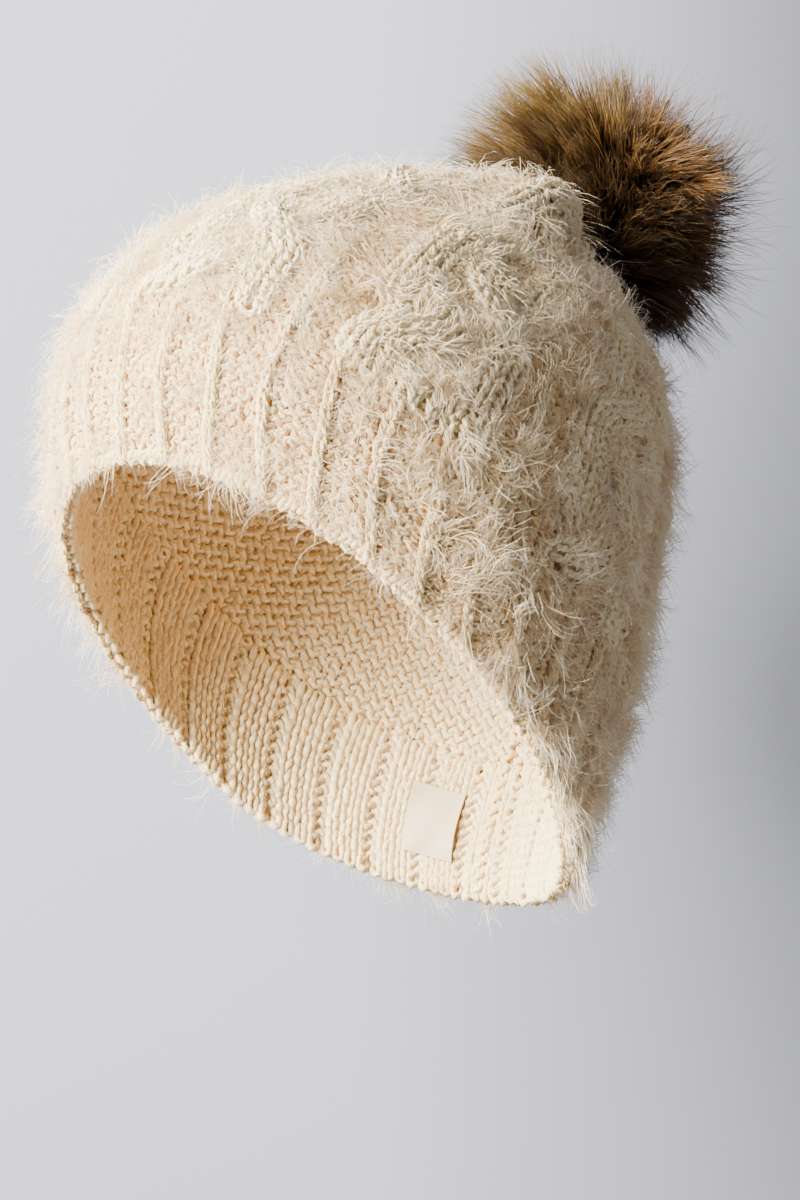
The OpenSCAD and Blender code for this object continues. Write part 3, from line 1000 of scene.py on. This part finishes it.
felt_pale = speckled("pale_felt", (0.62, 0.52, 0.40), (0.76, 0.68, 0.55), 700.0, 0.95,
                     Sheen_Weight=0.3)
felt_brown = speckled("brown_felt", (0.05, 0.028, 0.016), (0.10, 0.06, 0.035), 700.0, 0.95,
                      Sheen_Weight=0.3)
nickel = speckled("snap_metal", (0.50, 0.49, 0.46), (0.62, 0.61, 0.58), 500.0, 0.28, 0.00003,
                  Metallic=1.0)
spring = speckled("spring_steel", (0.42, 0.42, 0.43), (0.54, 0.54, 0.55), 900.0, 0.35, 0.00003,
                  Metallic=1.0)
thread_dark = speckled("dark_thread", (0.02, 0.014, 0.01), (0.05, 0.035, 0.025), 2500.0, 0.8,
                       0.0002)
satin_thread = speckled("satin_thread", (0.72, 0.72, 0.70), (0.86, 0.86, 0.84), 2500.0, 0.5, 0.0002)
CAD_FINISH = {
    "crown_felt": felt_pale,
    "socket_cap": nickel,
    "snap_socket": nickel,
    "socket_spring": spring,
    "snap_stud": nickel,
    "stud_felt": felt_brown,
    "stud_cap": nickel,
    "tie_knot": thread_dark,
    "gather_thread": thread_dark,
    "label_stitches": satin_thread,
}
for name, mat in CAD_FINISH.items():
    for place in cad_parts[name].material_slots:
        place.material = mat

LABEL_DEPTH = 8.9         # from the hat's outside
LABEL_THICK = 0.35
LABEL_LOW = 0.08          # its lower and upper edge, as s up the hat
LABEL_HIGH = 0.26
LABEL_ROWS = 25
LABEL_COLS = 19
LABEL_TURN = (math.radians(188), math.radians(200.8))


def care_label():
    """A blank satin label that lies inside the back of the hat and bellies out a little."""
    s = np.linspace(LABEL_LOW, LABEL_HIGH, LABEL_ROWS)[:, None]
    t = np.linspace(*LABEL_TURN, LABEL_COLS)[None, :]
    s, t = np.broadcast_arrays(s, t)
    p, _, _, out = hat_frame(s, t)
    far_u = (s - LABEL_LOW) / (LABEL_HIGH - LABEL_LOW)
    far_t = (t - LABEL_TURN[0]) / (LABEL_TURN[1] - LABEL_TURN[0])
    belly = 1.2 * np.sin(np.pi * far_u) * (0.5 + 0.5 * np.sin(np.pi * far_t))
    belly = belly + 0.25 * np.sin(9 * far_t + 5 * far_u)
    face = p - out * (LABEL_DEPTH + belly)[..., None]
    rear = face + out * LABEL_THICK
    # its flat size, measured along its middle column and row
    size = (float(np.linalg.norm(np.diff(face[:, LABEL_COLS // 2], axis=0), axis=-1).sum()),
            float(np.linalg.norm(np.diff(face[LABEL_ROWS // 2], axis=0), axis=-1).sum()))
    count = LABEL_ROWS * LABEL_COLS
    index = np.arange(count).reshape(LABEL_ROWS, LABEL_COLS)
    corners = [index[:-1, :-1], index[:-1, 1:], index[1:, 1:], index[1:, :-1]]
    quads = np.stack(corners, -1).reshape(-1, 4)
    rim = np.concatenate([index[0, :-1], index[:-1, -1], index[-1, :0:-1], index[:0:-1, 0]])
    turned = np.roll(rim, -1)
    edge = np.stack([rim, turned, turned + count, rim + count], -1)
    faces = np.concatenate([quads[:, ::-1], quads + count, edge])
    points = np.concatenate([face.reshape(-1, 3), rear.reshape(-1, 3)]) * MM
    mesh = bpy.data.meshes.new("label_cloth")
    mesh.from_pydata(points.tolist(), [], faces.tolist())
    mesh.update()
    return placed("label_cloth", mesh), size


label, label_size = care_label()
put([label], speckled("label_satin", (0.46, 0.34, 0.20), (0.56, 0.43, 0.27), 1800.0, 0.5, 0.00015),
    "label_satin", "hat", "care_label")


# ========================================
# stage, lights and camera
# ========================================
# lengths from here on are in metres
VIEW_TURN = math.radians(44.9)    # how far the view is turned from the forehead, towards +X
VIEW_RISE = math.radians(5.1)     # and how far it looks down
VIEW_DISTANCE = 1.5
PIXELS_PER_MM = 3.2       # at the hat, in a frame 1200 pixels high
FRAME_H = 1200
SENSOR = 36.0
AIM_RIGHT = 0.0269        # the middle of the frame, to the right of the brim's middle
AIM_UP = 0.0312           # and above it
WALL_REACH = 4.2          # from the hat to the backdrop
FLOOR_Z = -0.75
FLOOR_BEND = 1.8          # radius of the curve from the floor to the backdrop
BEND_STEPS = 16
WALL_TOP = 5.0
WALL_TURNS = 96

right = Vector((math.cos(VIEW_TURN), math.sin(VIEW_TURN), 0))
back = Vector((math.sin(VIEW_TURN) * math.cos(VIEW_RISE),
               -math.cos(VIEW_TURN) * math.cos(VIEW_RISE),
               math.sin(VIEW_RISE)))
up = back.cross(right)


def make_camera():
    """The photo's view: no shift and no depth of field."""
    data = bpy.data.cameras.new("camera")
    data.sensor_width = SENSOR
    data.lens = SENSOR * PIXELS_PER_MM * VIEW_DISTANCE / MM / FRAME_H
    camera = placed("camera", data)
    camera.location = right * AIM_RIGHT + up * AIM_UP + back * VIEW_DISTANCE
    camera.rotation_euler = back.to_track_quat("Z", "Y").to_euler()
    bpy.context.scene.camera = camera


def paper_material():
    """Pale paper with painted shade: greyer towards the right of the main view, with a painted soft
    shadow there.
    """
    mat = new_material("backdrop_paper", 0.9, Specular_IOR_Level=0.1)
    place = node(mat, "ShaderNodeTexCoord")
    across = node(mat, "ShaderNodeVectorMath", operation="DOT_PRODUCT")
    across.inputs[1].default_value = right
    link(mat, place.outputs["Object"], across.inputs[0])
    # painted shade: the paper darkens towards the right
    painted_falloff = ramp(mat, across.outputs["Value"], [
        (0.0, (0.26, 0.26, 0.285)), (0.28, (0.185, 0.185, 0.201)), (0.5, (0.10, 0.10, 0.108))])
    # how far a point lies from the line through the painted shadow's middle, along the fixed way back
    painted_shadow_middle = right * 0.50 - up * 0.09 - back * 3.45
    apart = node(mat, "ShaderNodeVectorMath", operation="SUBTRACT")
    apart.inputs[1].default_value = painted_shadow_middle
    link(mat, place.outputs["Object"], apart.inputs[0])
    crossed = node(mat, "ShaderNodeVectorMath", operation="CROSS_PRODUCT")
    crossed.inputs[1].default_value = back
    link(mat, apart.outputs["Vector"], crossed.inputs[0])
    away = node(mat, "ShaderNodeVectorMath", operation="LENGTH")
    link(mat, crossed.outputs["Vector"], away.inputs[0])
    shadow = ramp(mat, away.outputs["Value"], [
        (0.08, (0.56, 0.56, 0.56)), (0.20, (0.75, 0.75, 0.75)), (0.40, (0.88, 0.88, 0.88)),
        (0.62, (1.0, 1.0, 1.0))])
    set_colour(mat, mix(mat, 1.0, painted_falloff.outputs["Color"], shadow.outputs["Color"], "MULTIPLY"))
    return mat


def make_stage():
    """A pale floor that curves up into a backdrop all round the hat."""
    flat = WALL_REACH - FLOOR_BEND
    profile = [(0.0, FLOOR_Z), (flat, FLOOR_Z)]
    for k in range(1, BEND_STEPS + 1):
        a = math.pi / 2 * k / BEND_STEPS
        profile.append((flat + FLOOR_BEND * math.sin(a), FLOOR_Z + FLOOR_BEND * (1 - math.cos(a))))
    profile.append((WALL_REACH, WALL_TOP))
    verts, faces = [], []
    for r, z in profile:
        for j in range(WALL_TURNS):
            a = 2 * math.pi * j / WALL_TURNS
            verts.append((r * math.cos(a), r * math.sin(a), z))
    for i in range(len(profile) - 1):
        low = i * WALL_TURNS
        high = low + WALL_TURNS
        for j in range(WALL_TURNS):
            k = (j + 1) % WALL_TURNS
            faces.append((low + j, low + k, high + k, high + j))
    mesh = bpy.data.meshes.new("backdrop")
    mesh.from_pydata(verts, [], faces)
    mesh.polygons.foreach_set("use_smooth", [True] * len(faces))
    mesh.materials.append(paper_material())
    placed("backdrop", mesh)


def area_light(name, place, size, power, colour=(1, 1, 1), towards=Vector((0, 0.03, 0.06))):
    """A softbox that the camera doesn't see, aimed at the hat unless told otherwise."""
    data = bpy.data.lights.new(name, "AREA")
    data.shape = "RECTANGLE"
    data.size, data.size_y = size
    data.energy = power
    data.color = colour
    lamp = placed(name, data)
    lamp.location = place
    aim = Vector(towards) - Vector(place)
    lamp.rotation_euler = aim.to_track_quat("-Z", "Y").to_euler()
    lamp.visible_camera = False


make_camera()
make_stage()
key = back * 0.70 - right * 1.45 + up * 0.55
fill = back * 0.9 + right * 1.6 + up * 0.35
area_light("key_softbox", tuple(key), (1.1, 1.4), 340, (1.0, 0.96, 0.845))
area_light("fill_softbox", tuple(fill), (1.2, 1.2), 10.5, (0.89, 0.92, 1.0))
area_light("top_softbox", (0, 0, 1.5), (1.4, 1.4), 1.5)
# a lamp above and behind the hat that lights only the backdrop, more on its left
wall_lamp = -back * 2.0 - right * 0.8 + up * 2.0
wall_aim = -back * WALL_REACH - right * 0.3 + up * 0.5
area_light("backdrop_softbox", tuple(wall_lamp), (1.5, 1.0), 450, (0.95, 0.965, 1.0), wall_aim)
world = bpy.data.worlds.new("studio")
bpy.context.scene.world = world
world.use_nodes = True
background = world.node_tree.nodes["Background"]
background.inputs["Color"].default_value = (0.84, 0.87, 0.95, 1)
background.inputs["Strength"].default_value = 0.10
